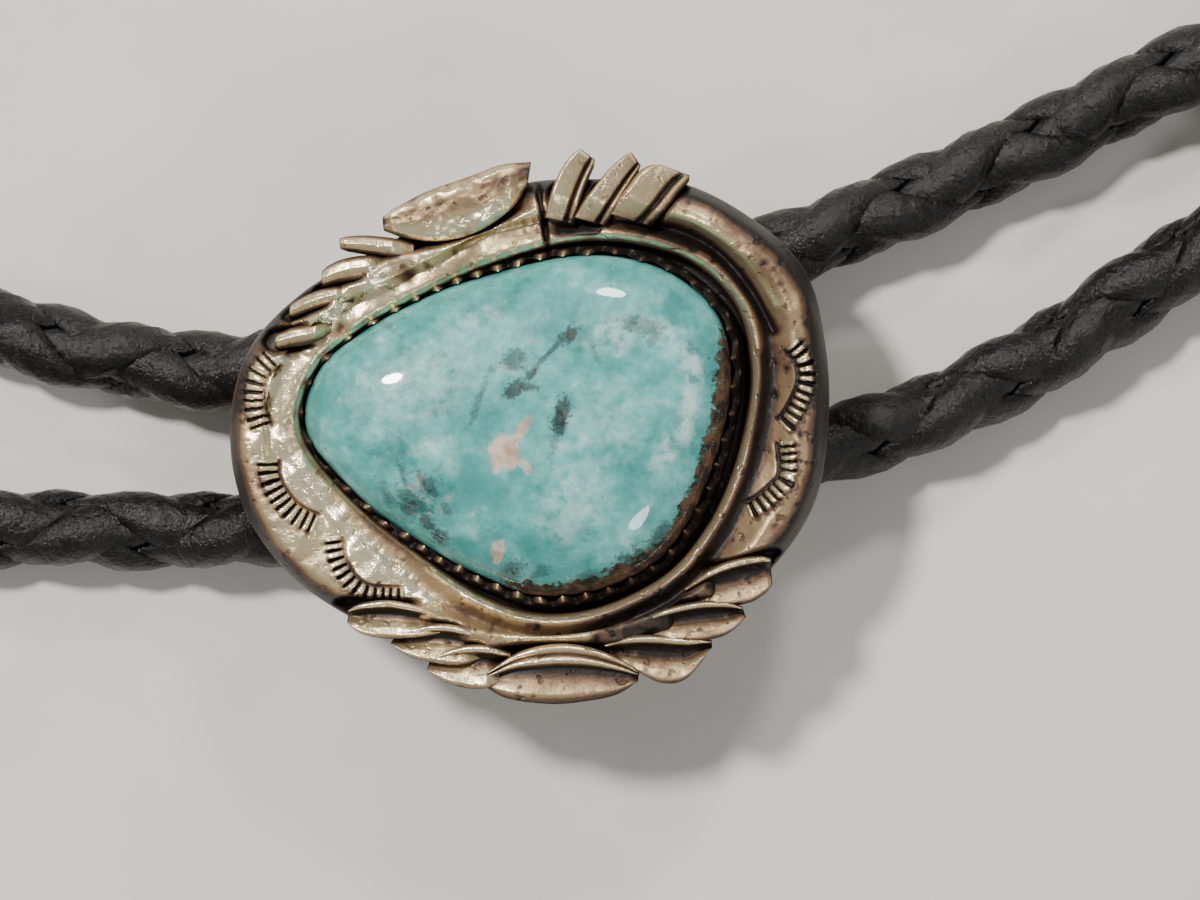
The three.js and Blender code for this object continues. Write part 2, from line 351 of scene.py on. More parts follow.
plain = Finish("plainMetal")
wear = plain.grain(0.6, 4, 0.6)
lines = plain.grain(0.35, 2, 0.5, stretch=(0.15, 1, 1))
plain.wear(
    colour=plain.mix(wear.rise(0.35, 0.7), tint(198, 193, 182), tint(150, 143, 130)),
    metal=1.0, rough=0.26 + wear * 0.18, normal=plain.bump(lines + wear, 0.012),
)

leather = Finish("blackLeather")
crease = leather.grain(0.7, 5, 0.68)
pores = leather.grain(0.16, 2, 0.5)
soft = leather.grain(3.2, 3, 0.5)
rub = leather.attribute("rub")
leather.wear(
    colour=leather.mix(
        (crease * 0.5 + rub * 0.45).rise(0.3, 0.85), tint(3, 3, 3), tint(21, 19, 18)
    ),
    rough=0.2 + (crease - 0.5) * 0.45 + soft * 0.14, specular=0.34,
    normal=leather.bump(crease * 1.3 + pores * 0.4 + soft, 0.14),
)
print("materials made")

# the slide's edges

# Distances from the slide's centre, mm, turning from +X towards +Y every 15 degrees
rimEdge = [
    14.9, 15.3, 15.8, 15.1, 14.2, 12.8, 12.2, 11.6, 11.4, 11.9, 13.2, 14.5,
    14.9, 14.8, 14.1, 13.1, 12.2, 12.1, 12.1, 12.3, 12.7, 13.3, 14, 14.7,
]
lipEdge = [
    10.9, 11.6, 12.1, 11.7, 10.7, 9.8, 9.1, 8.8, 9, 9.5, 10.5, 11.8,
    12.1, 10.7, 9.6, 8.9, 8.7, 8.9, 9.4, 9.7, 9.9, 10.2, 10.3, 10.5,
]
stoneEdge = [
    9.7, 10.4, 10.9, 10.5, 9.7, 8.8, 8.1, 7.8, 8, 8.5, 9.5, 10.8,
    11.1, 9.7, 8.6, 7.9, 7.7, 7.8, 8.3, 8.6, 8.9, 9.2, 9.2, 9.3,
]
ridgeShare = [
    1, 1, 1, 1, 1, 0.8, 0.5, 0.2, 0, 0, 0, 0, 0, 0, 0, 0.2, 0.6, 1, 1, 1, 1, 1, 1, 1,
]


def edgeAt(column, angle):
    line = smoothLine(np.array(column, float)[:, None], 60, closed=True)[:, 0]
    place = (angle % tau) / tau * len(line)
    low = np.floor(place).astype(int) % len(line)
    share = place - np.floor(place)
    return line[low] * (1 - share) + line[(low + 1) % len(line)] * share


# leaves, blades, twigs, petals

# Heights and darkness across each kind of leaf, from its upper edge to its lower one: place,
# height in mm, darkness (patina, with painted shade in the hollows). Its root dips by rootFall,
# and the border sinks under it from root on
kinds = {
    "leaf": {
        "rootFall": 0.35, "root": 0.0, "sink": 1.2, "rough": 0.2,
        "across": [
            (0, -0.5, 0.5), (0.12, -0.15, 0.05), (0.3, 0, 0.5), (0.5, 0, 0.42), (0.68, -0.08, 0),
            (0.88, -0.2, -0.05), (1, -0.5, 0.3),
        ],
    },
    "twig": {
        "rootFall": 0.8, "root": 0.3, "sink": 1.1, "rough": 0.05,
        "across": [
            (0, -0.5, 0.9), (0.2, -0.12, 0.25), (0.5, 0, 0), (0.8, -0.15, 0.3), (1, -0.55, 1),
        ],
    },
    "blade": {
        "rootFall": 0.55, "root": 0.08, "sink": 1.2, "rough": 0.04,
        "across": [
            (0, -0.25, 0.5), (0.08, 0, 0), (0.62, -0.22, 0.12), (0.74, -0.62, 1),
            (0.84, -0.3, 0.2), (0.92, -0.3, 0.15), (1, -0.6, 0.6),
        ],
    },
    "petal": {
        "rootFall": 0.7, "root": 0.22, "sink": 1.3, "rough": 0.07,
        "across": [
            (0, -0.3, 0.5), (0.06, 0.02, -0.15), (0.14, -0.02, -0.1), (0.22, -0.6, 1),
            (0.36, -0.85, 0.95), (0.5, -0.8, 0.45), (0.72, -0.5, 0.12), (0.9, -0.35, 0.1),
            (1, -0.55, 0.6),
        ],
    },
    "double": {
        "rootFall": 0.35, "root": 0.0, "sink": 1.4, "rough": 0.05,
        "across": [
            (0, -0.2, 0.3), (0.06, 0.02, -0.1), (0.12, -0.05, 0), (0.18, -0.4, 0.9),
            (0.24, -0.1, 0), (0.3, -0.12, 0), (0.4, -0.66, 1), (0.6, -0.6, 0.5),
            (0.85, -0.4, 0.25), (1, -0.6, 0.8),
        ],
    },
}
# Each leaf has an upper and a lower edge from its root to its end, mm, and stands at its own
# height z, dropping towards its end
leaves = [
    {
        "kind": "leaf", "z": 10.8, "drop": 0.5,
        "upper": [
            (0.1, 13.15), (-1.34, 13.0), (-2.86, 12.45), (-5.0, 11.7), (-6.2, 11.1),
            (-7.28, 10.5),
        ],
        "lower": [
            (-0.1, 11.9), (-0.9, 10.8), (-2.4, 9.75), (-4.04, 9.26), (-5.67, 9.3), (-7.2, 9.7),
        ],
    },
    {
        "kind": "blade", "z": 10.85, "drop": 0.8,
        "upper": [(0.75, 10.4), (1.2, 11.9), (1.8, 13.1), (2.5, 13.85)],
        "lower": [(2.2, 10.1), (2.55, 11.2), (2.95, 12.3), (3.35, 13.25)],
    },
    {
        "kind": "blade", "z": 10.9, "drop": 0.8,
        "upper": [(2.2, 10.4), (3.1, 11.7), (4.1, 12.9), (5.05, 13.7)],
        "lower": [(3.8, 10.0), (4.4, 11.0), (5.0, 12.0), (5.6, 12.95)],
    },
    {
        "kind": "blade", "z": 10.8, "drop": 0.7,
        "upper": [(3.9, 10.6), (4.8, 11.8), (5.5, 12.7), (6.3, 13.1)],
        "lower": [(6.0, 10.0), (6.8, 10.8), (7.5, 11.7), (8.15, 12.45)],
    },
    {
        "kind": "twig", "z": 10.75, "drop": 0.4,
        "upper": [(-5.7, 9.2), (-7.0, 9.4), (-8.2, 9.5), (-9.4, 9.42)],
        "lower": [(-5.7, 8.3), (-7.0, 8.45), (-8.2, 8.6), (-9.35, 8.8)],
    },
    {
        "kind": "twig", "z": 10.75, "drop": 0.4,
        "upper": [(-6.9, 8.5), (-8.2, 8.5), (-9.3, 8.3), (-10.25, 7.85)],
        "lower": [(-6.9, 7.5), (-8.0, 7.4), (-9.2, 7.2), (-10.3, 6.9)],
    },
    {
        "kind": "twig", "z": 10.7, "drop": 0.35,
        "upper": [(-8.6, 7.0), (-9.7, 6.95), (-10.8, 6.65), (-11.85, 6.1)],
        "lower": [(-8.7, 6.2), (-9.7, 6.1), (-10.8, 5.8), (-11.9, 5.35)],
    },
    {
        "kind": "twig", "z": 10.5, "drop": 0.3,
        "upper": [(-9.7, 5.4), (-10.7, 5.15), (-11.7, 4.95), (-12.6, 4.6)],
        "lower": [(-9.9, 4.5), (-10.8, 4.15), (-11.7, 4.0), (-12.6, 3.85)],
    },
    {
        "kind": "petal", "z": 10.65, "drop": 0.6,
        "upper": [(-3.8, -9.6), (-5.1, -9.0), (-6.8, -8.6), (-8.1, -8.7), (-8.95, -9.0)],
        "lower": [(-3.9, -10.2), (-5.4, -10.4), (-6.9, -10.5), (-8.2, -10.3), (-9.05, -9.8)],
    },
    {
        "kind": "petal", "z": 10.5, "drop": 0.6,
        "upper": [(-1.9, -10.6), (-3.0, -10.0), (-4.3, -9.75), (-5.6, -9.95), (-6.7, -10.4)],
        "lower": [(-2.2, -11.5), (-3.4, -11.8), (-4.7, -11.7), (-5.9, -11.4), (-6.9, -10.8)],
    },
    {
        "kind": "petal", "z": 10.4, "drop": 0.5,
        "upper": [(-0.9, -11.2), (-2.2, -10.8), (-3.5, -10.9), (-4.9, -11.5)],
        "lower": [(-1.2, -12.7), (-2.4, -13.0), (-3.8, -12.8), (-5.1, -12.1)],
    },
    {
        "kind": "double", "z": 10.3, "drop": 0.1,
        "upper": [
            (-2.1, -12.2), (-0.45, -11.15), (1.34, -10.75), (2.9, -10.9), (4.3, -11.4),
            (5.5, -12.1),
        ],
        "lower": [
            (-2.2, -12.9), (-1.0, -13.5), (1.2, -13.75), (2.9, -13.6), (4.3, -13.3),
            (5.4, -12.7),
        ],
    },
    {
        "kind": "petal", "z": 10.5, "drop": 0.5,
        "upper": [(3.7, -10.8), (4.9, -10.4), (6.2, -10.3), (7.8, -10.45), (9.1, -10.6)],
        "lower": [(4.4, -11.6), (5.5, -12.2), (6.6, -12.7), (7.8, -12.5), (9.1, -11.0)],
    },
    {
        "kind": "petal", "z": 10.65, "drop": 0.5,
        "upper": [(5.4, -9.7), (6.7, -9.05), (8.3, -8.66), (9.6, -8.65), (10.6, -8.9)],
        "lower": [(6.0, -10.4), (7.2, -10.6), (8.6, -10.6), (9.8, -10.3), (10.8, -9.5)],
    },
    {
        "kind": "petal", "z": 10.6, "drop": 0.5,
        "upper": [(7.7, -8.0), (9.1, -7.0), (10.5, -6.5), (12.0, -6.35)],
        "lower": [(8.2, -8.9), (9.6, -8.9), (11.0, -8.7), (12.1, -8.0)],
    },
]

# the silver border

border = {
    "columns": 1240, "bottom": 6.7,
    "rayPitch": 0.37, "rayDepth": 0.36, "pits": 110, "seed": 7,
    # arcs of stamped rays. The rays are on an arc's left where side is 1, and else on its right
    "crescents": [
        {
            "arc": [(-12.7, -0.05), (-13.06, 1.04), (-12.97, 2.3), (-12.2, 3.2)],
            "ray": 1.1, "side": 1,
        },
        {
            "arc": [(-10.25, -4.4), (-11.1, -4.0), (-11.7, -3.5), (-12.3, -2.5), (-12.4, -1.5)],
            "ray": 1.1, "side": 1,
        },
        {
            "arc": [
                (-6.1, -7.9), (-6.8, -7.9), (-7.9, -7.8), (-8.6, -7.3), (-9.1, -6.4),
                (-9.3, -5.3),
            ],
            "ray": 0.9, "side": 1,
        },
        {
            "arc": [
                (12.2, 0.3), (12.6, 0.7), (13.07, 1.6), (13.3, 2.3), (13.2, 3.1), (12.6, 3.9),
            ],
            "ray": 1.0, "side": -1,
        },
        {
            "arc": [(10.6, -3.8), (11.2, -3.5), (12.0, -2.8), (12.4, -2.2), (12.3, -0.65)],
            "ray": 0.95, "side": -1,
        },
    ],
    # lines cut into the border or raised on it: width, height and darkness
    "lines": [
        {
            "at": [(5.6, 10.0), (7.4, 9.8), (9.3, 8.8), (11.1, 6.6), (12.4, 4.4)],
            "width": 0.24, "up": -0.42, "dark": 0.6,
        },
        {
            "at": [(6.4, 10.6), (8.6, 10.0), (10.7, 8.2), (12.4, 5.6)],
            "width": 0.32, "up": 0.2, "dark": -0.25,
        },
        {
            "at": [(1.2, 9.95), (2.4, 9.7), (3.8, 9.6)],
            "width": 0.4, "up": -0.1, "dark": 0.6,
        },
        {
            "at": [(0.35, 12.5), (0.7, 10.4), (0.98, 8.65)],
            "width": 0.13, "up": -0.5, "dark": 1.0,
        },
        {
            "at": [
                (-11.6, -1.1), (-10.7, -3.1), (-9.35, -4.8), (-7.8, -6.3), (-6.1, -7.6),
                (-4.05, -9.2),
            ],
            "width": 0.3, "up": 0.2, "dark": -0.3,
        },
        {
            "at": [(-12.0, 0.6), (-11.8, -0.6), (-11.2, -1.9)],
            "width": 0.2, "up": -0.12, "dark": 0.25,
        },
        {
            "at": [(8.2, 9.0), (9.9, 7.6), (11.2, 5.4), (11.6, 3.4)],
            "width": 0.3, "up": 0.16, "dark": -0.2,
        },
        {
            "at": [(-11.3, 3.5), (-10.4, 5.2), (-8.9, 6.9), (-6.7, 8.3)],
            "width": 0.35, "up": 0.22, "dark": -0.2,
        },
    ],
    # smooth islands and hollows: centre x and y, size, height, darkness
    "mounds": [
        (-12.0, -0.8, 0.7, 0.28, -0.4), (-11.5, -2.1, 0.7, 0.2, -0.4),
        (-10.6, -3.2, 0.7, 0.2, -0.4), (-9.6, -4.6, 0.5, 0.15, -0.3),
        (-8.5, -6.0, 0.8, 0.22, -0.45), (-7.4, -6.9, 0.7, 0.2, -0.45),
        (-6.2, -7.6, 0.6, 0.15, -0.35), (-12.9, -2.9, 0.6, -0.1, 0.2),
        (-10.9, -6.4, 0.8, -0.1, 0.25), (-10.0, 5.6, 0.8, 0.25, -0.3),
        (-8.0, 7.2, 0.7, 0.22, -0.2), (-11.6, 4.0, 0.45, -0.3, 0.35),
        (-9.3, 4.9, 0.35, -0.25, 0.5), (-6.0, 7.6, 0.4, -0.22, 0.5),
        (13.3, 6.2, 1.0, 0.14, -0.15), (11.4, 8.6, 1.1, 0.14, 0.05),
        (13.4, -3.4, 0.8, 0.12, 0.1), (-3.2, 8.6, 0.6, 0.2, 0.1), (3.9, 10.2, 0.9, 0.2, -0.25),
    ],
}

# The section from the middle of the underside, out, up and over to the middle of the plate.
# Each corner: edge, share of it, distance out, height above the underside, height added on the
# ridge, rows to the next corner
borderSection = [
    ("rim", 0, 0, 0, 0, 2), ("rim", 1, -1.6, 0, 0, 1), ("rim", 1, -0.7, 0, 0, 1),
    ("rim", 1, -0.5, 0.1, 0, 2), ("rim", 1, 0, 1.2, 0, 3), ("rim", 1, -0.12, 2.2, 0, 4),
    ("rim", 1, -0.45, 3.1, 0, 4), ("rim", 1, -0.8, 3.4, 0, 5), ("rim", 1, -1.25, 3.5, 0, 6),
    ("rim", 1, -1.75, 3.45, 0, 21), ("lip", 1, 1.0, 2.75, -0.35, 9), ("lip", 1, 0.3, 2.25, 0.75, 3),
    ("lip", 1, 0.08, 2.05, 0.85, 2), ("lip", 1, -0.1, 1.8, 0.7, 3), ("lip", 1, -0.22, 0.8, 0, 2),
    ("stone", 1, 0.3, 0.8, 0, 2), ("stone", 1, -1.5, 0.8, 0, 2), ("stone", 0, 0, 0.8, 0, 1),
]
# some of its corners, by their order
underside, shoulder, crest, channel, lipTop, lipInside, wallFoot = 2, 5, 8, 10, 12, 13, 14


def borderRelief(x, y):
    # how far the surface is raised and how dark it is, at points on the top of the border
    up = 0.16 * grainAt(x, y, 2.9, 2) + 0.09 * grainAt(x, y, 1.2, 5)
    up = up + 0.03 * grainAt(x, y, 0.4, 9)
    # painted shade: the border darkens towards +x, away from the light at the upper left
    dark = 0.4 * ease(x, -1, 7) + 0.18 * grainAt(x, y, 2.0, 11) + 0.06 * ease(-y, 4, 9)
    # the border lies low under the leaves, so that they stand on it
    for leaf in leaves:
        kind = kinds[leaf["kind"]]
        upper, lower = smoothLine(leaf["upper"], 6), smoothLine(leaf["lower"], 6)
        pick = np.linspace(0, 1, min(len(upper), len(lower)))
        middle = (
            upper[(pick * (len(upper) - 1)).astype(int)]
            + lower[(pick * (len(lower) - 1)).astype(int)]
        ) / 2
        half = 0.5 * np.hypot(*(upper[len(upper) // 2] - lower[len(lower) // 2]))
        away, along, run = nearLine(middle, x, y)
        clear = ease(along, kind["root"] * run, (kind["root"] + 0.25) * run)
        up = up - kind["sink"] * (1 - ease(np.abs(away), half * 0.85, half + 0.3)) * clear
        shadow = 1 - ease(np.abs(away), half * 0.95, half + 0.16)
        dark = dark + 0.7 * shadow * (0.35 + 0.65 * clear)
    for crescent in border["crescents"]:
        line = smoothLine(crescent["arc"], 6)
        away, along, run = nearLine(line, x, y)
        away = away * crescent["side"]
        inside = ease(along, 0.02, 0.2) * (1 - ease(along, run - 0.2, run - 0.02))
        count = round(run / border["rayPitch"])
        wave = np.cos(along / run * count * tau)
        groove = ease(wave, 0.0, 0.75) * ease(away, 0.05, 0.16)
        tipWave = crescent["ray"] * (0.9 + 0.1 * wave)
        groove = groove * (1 - ease(away, tipWave - 0.12, tipWave + 0.04)) * inside
        arcLine = hump(away, 0.09) * inside
        pillow = (1 - wave) * 0.5 * ease(away, 0.1, 0.3)
        pillow = pillow * (1 - ease(away, tipWave - 0.2, tipWave + 0.1))
        up = up - border["rayDepth"] * groove - 0.2 * arcLine + 0.1 * pillow * inside
        dark = dark + 1.1 * groove + 0.75 * arcLine
        dark = dark - (0.4 + 0.3 * ease(x, 0, 8)) * pillow * inside
        dark = dark + 0.3 * hump(away - tipWave - 0.1, 0.12) * inside
    for cut in border["lines"]:
        away, along, run = nearLine(smoothLine(cut["at"], 6), x, y)
        ends = ease(along, 0, 0.5) * (1 - ease(along, run - 0.5, run)) + 0.001
        up = up + cut["up"] * hump(away, cut["width"]) * ends
        dark = dark + cut["dark"] * hump(away, cut["width"] * 1.1) * ends
    for cx, cy, size, height, shade in border["mounds"]:
        bulge = hump(np.hypot(x - cx, y - cy), size)
        up = up + height * bulge
        dark = dark + shade * bulge
    dice = np.random.default_rng(border["seed"])
    for turn in range(border["pits"]):
        angle = dice.uniform(0, tau)
        place = dice.uniform(0.05, 0.95)
        rim, lip = edgeAt(rimEdge, angle), edgeAt(lipEdge, angle)
        r = lip + (rim - 0.6 - lip) * place
        size = dice.uniform(0.07, 0.2)
        near = hump(np.hypot(x - r * cos(angle), y - r * sin(angle)), size)
        up = up - 0.5 * size * near
        dark = dark + dice.uniform(0.1, 0.42) * near
    return up, dark


def silverBorder():
    corners = borderSection
    starts = np.cumsum([0] + [c[5] for c in corners[:-1]])
    mesh, angle, row = spunRows("silverBorder", int(starts[-1]) + 1, border["columns"])
    edges = {"rim": edgeAt(rimEdge, angle), "lip": edgeAt(lipEdge, angle),
             "stone": edgeAt(stoneEdge, angle)}
    ridge = np.clip(edgeAt(ridgeShare, angle), 0, 1)
    r = np.zeros(len(angle))
    z = np.zeros(len(angle))
    reach = [edges[c[0]] * c[1] + c[2] for c in corners]
    height = [border["bottom"] + c[3] + c[4] * ridge for c in corners]
    close = 0.45 + 0.2 * ease(np.cos(angle - radians(150)), 0.7, 0.95)
    for corner in range(channel + 1, wallFoot + 1):  # with no ridge, it closes in on the stone
        reach[corner] = reach[corner] - close * (1 - ridge)
    for corner in range(channel + 1, wallFoot):
        height[corner] = height[corner] + 0.5 * (1 - ridge)
    for span in range(len(corners) - 1):
        here = (row >= starts[span]) & (row < starts[span + 1])
        if span == len(corners) - 2:
            here = row >= starts[span]
        t = (row - starts[span]) / (starts[span + 1] - starts[span])
        smooth = 3 < span < lipInside
        before, after = max(span - 1, 0), min(span + 2, len(corners) - 1)
        for source, target in ((reach, r), (height, z)):
            a, b, c, d = (source[k] for k in (before, span, span + 1, after))
            straight = b + (c - b) * t
            curved = (b + 0.5 * t * (c - a) + t**2 * (a - 2.5 * b + 2 * c - 0.5 * d)
                      + t**3 * (1.5 * (b - c) + 0.5 * (d - a)))
            target[here] = (curved if smooth else straight)[here]
    x, y = r * np.cos(angle), r * np.sin(angle)
    first, last = starts[shoulder], starts[wallFoot]
    top = (row >= first) & (row <= last)
    up, dark = borderRelief(x[top], y[top])
    fade = np.clip((row[top] - first) / 4, 0, 1) * np.clip((last - row[top]) / 3, 0, 1)
    z[top] += up * fade
    shade = np.full(len(angle), 0.78)
    shade[row <= starts[underside]] = 0.3
    valley = hump(row - starts[channel] - 3, 5.5) * ridge * 0.55  # outside the lip
    # the lip's crest is lightened, for polish and a painted highlight
    lipPolishAndHighlight = hump(row - starts[lipTop], 1.2) * (0.3 + 0.4 * ridge)
    cove = hump(row - starts[lipInside] + 1, 8) * (1 - ridge)
    cove = cove * (0.2 + 0.55 * hump(angle + radians(132), 0.75))
    wall = ease(-row.astype(float), -float(starts[crest]), -float(first)) * 0.85
    # the inner wall down to the stone is darkened, for tarnish and painted shade
    innerTarnishAndShade = ease(row.astype(float), float(starts[lipInside]), float(last)) * 0.9
    shade[top] = (0.12 + dark * fade + (valley - lipPolishAndHighlight + cove + wall + innerTarnishAndShade)[top])
    shade[row > last] = 1.0
    dust = 0.1 * np.sin(angle * 7) * np.cos(angle * 3)
    keepAttribute(mesh, "tarnish", np.clip(shade + dust, 0, 1.2))
    settle(mesh, x, y, z)
    return finishPiece("silverBorder", mesh, silver.material)


borderPiece = silverBorder()
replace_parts(borderPiece, "slide_body")
print("border made")

# the leaves themselves


def leafPiece(order, leaf):
    spans, lanes = 56, 30
    bm = bmesh.new()
    bmesh.ops.create_grid(bm, x_segments=spans, y_segments=lanes, size=1)
    mesh = bpy.data.meshes.new("leaf")
    bm.to_mesh(mesh)
    co = readPlaces(mesh)
    bm.free()
    u, v = (co[:, 0] + 1) / 2, (co[:, 1] + 1) / 2
    upper = smoothLine(leaf["upper"], 24)
    lower = smoothLine(leaf["lower"], 24)

    def onLine(line, share):
        place = share * (len(line) - 1)
        return np.column_stack([np.interp(place, np.arange(len(line)), line[:, k]) for k in (0, 1)])

    # the blunt end is a little rounded, and its corners are drawn in
    drawn = v + (0.5 - v) * 0.16 * ease(u, 0.9, 1.0) * np.abs(2 * v - 1)
    high, low = onLine(upper, u), onLine(lower, u)
    flat = high * (1 - drawn)[:, None] + low * drawn[:, None]
    kind = kinds[leaf["kind"]]
    across = np.array(kind["across"])
    rise = np.interp(v, across[:, 0], across[:, 1])
    dark = np.interp(v, across[:, 0], across[:, 2])
    x, y = flat[:, 0], flat[:, 1]
    coarse, fine = grainAt(x, y, 0.9, order), grainAt(x, y, 0.35, order + 30)
    bumpy = coarse * kind["rough"] + fine * kind["rough"] * 0.5
    z = leaf["z"] - leaf["drop"] * u**1.6 + rise + bumpy
    z = z - 0.28 * ease(u, 0.93, 1.0) - kind["rootFall"] * (1 - ease(u, 0, 0.3))
    # painted shade: darker towards +x, away from the light at the upper left
    shade = 0.1 + dark * 0.9 + 0.22 * ease(x, -2, 9) + 0.6 * ease(u, 0.975, 1.0)
    shade = shade + 1.4 * np.clip(-bumpy, 0, 1) + 0.3 * (1 - ease(u, 0, 0.15))
    bm = bmesh.new()
    bm.from_mesh(mesh)
    bpy.data.meshes.remove(mesh)
    layer = bm.verts.layers.float.new("tarnish")
    for vert, a, b, c, d in zip(bm.verts, x, y, z, shade):
        vert.co = (a * mm, b * mm, c * mm)
        vert[layer] = min(max(d, 0), 1.2)
    # the sides go down into the border and are closed below
    # the sides darken as they go down: painted shade between leaf and border
    for depth, dirtAndShade in ((0.12, 0.55), (0.9, 0.75), (0.9, 0.95)):
        outline = [e for e in bm.edges if e.is_boundary]
        grown = bmesh.ops.extrude_edge_only(bm, edges=outline)["geom"]
        for vert in (g for g in grown if isinstance(g, bmesh.types.BMVert)):
            vert.co.z -= depth * mm
            vert[layer] = dirtAndShade
    bmesh.ops.holes_fill(bm, edges=[e for e in bm.edges if e.is_boundary], sides=0)
    bmesh.ops.recalc_face_normals(bm, faces=bm.faces)
    name = f"{leaf['kind']}{order}"
    made = bpy.data.meshes.new(name)
    bm.to_mesh(made)
    bm.free()
    return finishPiece(name, made, silver.material)


for order, leaf in enumerate(leaves):
    leafPiece(order, leaf)
print("leaves made")

# the serrated bezel

bezel = {"teeth": 48, "columnsEach": 12, "foot": 7.4, "top": 9.45, "cut": 0.85, "wall": 0.35}


def serratedBezel():
    # rows: up the outside, over the tips and down the inside
    outs = [gap + bezel["wall"], 0.6, 0.5, 0.4, 0.28, 0.1, 0.02, 0.12, gap, gap]
    ups = [0, 0.45, 0.62, 0.78, 0.9, 0.98, 1.0, 0.88, 0.5, 0]
    mesh, angle, row = spunRows(
        "serratedBezel", len(outs), bezel["teeth"] * bezel["columnsEach"], closedSection=True
    )
    tooth = np.abs(((angle / tau * bezel["teeth"]) % 1) - 0.5) * 2  # 0 on a tip, 1 in a notch
    up = np.array(ups)[row]
    out = np.array(outs)[row]
    stone = edgeAt(stoneEdge, angle)
    notch = ease(up, 0.5, 1.0) * tooth**0.8
    z = bezel["foot"] + (bezel["top"] - bezel["foot"]) * up - bezel["cut"] * notch
    out = out + 0.16 * notch
    uneven = 0.05 * np.sin(angle * 17 + 1) + 0.04 * np.sin(angle * 29)
    r = stone + out + uneven * ease(up, 0.6, 1)
    # the tooth tips are lighter, worn and with a painted highlight; the teeth on the right side and
    # at the left end are darkened with painted shade
    shade = 1.05 - 1.1 * ease(up, 0.72, 0.95) * (1 - tooth) ** 2.2 * (
        1 - 0.75 * ease(np.cos(angle), -0.1, 0.6)) * (1 - 0.8 * hump(np.cos(angle) + 1, 0.09))
    keepAttribute(mesh, "tarnish", np.clip(shade, 0, 1.2))
    settle(mesh, r * np.cos(angle), r * np.sin(angle), z)
    return finishPiece("serratedBezel", mesh, silver.material)


serratedBezel()
print("bezel made")

# the stone

gem = {
    "columns": 288, "bottom": 7.8,
    # ragged ovals on the stone: x, y, half length, half width, turn in degrees, strength
    "matrix": [
        (-1.6, 2.9, 0.3, 0.14, 20, 0.5), (-0.1, 1.9, 0.4, 0.16, 0, 0.8),
        (-2.4, 1.3, 0.9, 0.12, 70, 0.5), (3.2, 3.9, 0.5, 0.16, -70, 0.45),
        (-6.2, -2.4, 0.6, 0.14, -75, 0.6), (-5.9, -4.1, 0.35, 0.16, -40, 0.85),
        (-4.1, -4.1, 0.3, 0.14, -60, 0.6), (0.6, -7.2, 0.4, 0.2, 20, 0.5),
        (6.4, -5.4, 0.5, 0.25, 60, 0.7), (8.9, -2.6, 0.6, 0.2, 70, 0.5),
        (9.6, 2.6, 0.4, 0.16, 0, 0.6), (-0.6, 1.85, 0.5, 0.26, 35, 1.0),
        (0.2, 2.6, 0.4, 0.13, 55, 0.8), (-0.7, 3.2, 0.45, 0.36, 20, 0.8),
        (1.1, 3.7, 0.9, 0.09, 45, 0.75), (2.1, 4.55, 0.36, 0.26, 40, 1.0),
        (1.6, 0.55, 0.3, 0.7, -8, 1.0), (1.35, -0.7, 0.15, 0.8, -12, 0.45),
        (5.45, 5.1, 0.8, 0.3, -15, 0.6), (6.3, 4.5, 0.45, 0.2, 60, 0.5),
        (-0.85, -7.2, 0.5, 0.35, 30, 0.7), (5.3, -6.8, 0.8, 0.55, 25, 0.95),
        (3.0, -7.6, 0.6, 0.3, 10, 0.6), (-5.0, -2.9, 0.6, 0.22, -50, 0.75),
        (-5.7, -3.7, 0.7, 0.25, -35, 0.75), (-5.0, -4.8, 0.4, 0.2, -48, 0.85),
        (-4.5, -5.4, 0.4, 0.28, -40, 0.9), (-7.1, -3.2, 0.6, 0.2, -60, 0.45),
        (-6.9, 4.9, 0.5, 0.15, -30, 0.4), (-4.6, 3.2, 0.35, 0.2, 30, 0.3),
        (-6.6, -1.0, 0.3, 0.5, 10, 0.35),
    ],
    "tans": [
        (-1.2, -1.3, 0.95, 0.72, 80, 1.0), (-0.5, -0.35, 0.95, 0.3, 55, 0.9),
        (-1.55, -6.15, 0.3, 0.6, -8, 0.8), (-0.2, -1.9, 0.5, 0.22, -50, 0.6),
    ],
    "greys": [
        (-5.4, -3.6, 1.7, 1.1, 35, 0.8), (5.0, 4.9, 1.5, 0.6, -10, 0.5),
        (-0.2, 3.0, 1.9, 1.2, 45, 0.4), (-0.9, -6.8, 1.2, 0.7, 5, 0.4),
    ],
    "clouds": [
        (6.6, 4.6, 1.3, 0.5, -30, 0.9), (8.0, 3.1, 1.3, 0.42, -75, 0.9),
        (7.9, 0.9, 1.6, 0.42, 82, 1.0), (6.9, -1.2, 1.1, 0.45, 55, 0.8),
        (4.4, 4.6, 1.2, 0.8, 10, 0.6), (-4.9, -0.9, 0.7, 0.35, 20, 0.8),
        (-5.4, 1.9, 2.4, 1.4, 25, 0.35), (-8.2, 2.2, 0.3, 0.5, 10, 0.6),
        (2.3, -3.9, 1.6, 1.2, 60, 0.5), (3.6, 0.2, 1.8, 1.4, 20, 0.3),
        (-2.6, 5.3, 1.4, 0.5, 30, 0.4),
    ],
    "deeps": [
        (-10.4, 1.4, 1.7, 1.9, 0, 0.9), (-3.5, -3.2, 2.6, 1.6, 20, 0.9),
        (0.8, 6.0, 2.2, 1.0, 5, 0.5), (-2.6, -6.6, 2.2, 1.0, -30, 0.7),
        (9.4, 1.4, 1.0, 3.4, 5, 0.6), (1.2, -6.8, 1.8, 1.3, 0, 0.6),
        (-2.2, 0.6, 1.5, 1.0, 30, 0.6), (5.0, -2.6, 0.9, 1.4, 20, 0.4),
        (6.2, 7.0, 2.0, 0.9, -30, 0.5),
    ],
}

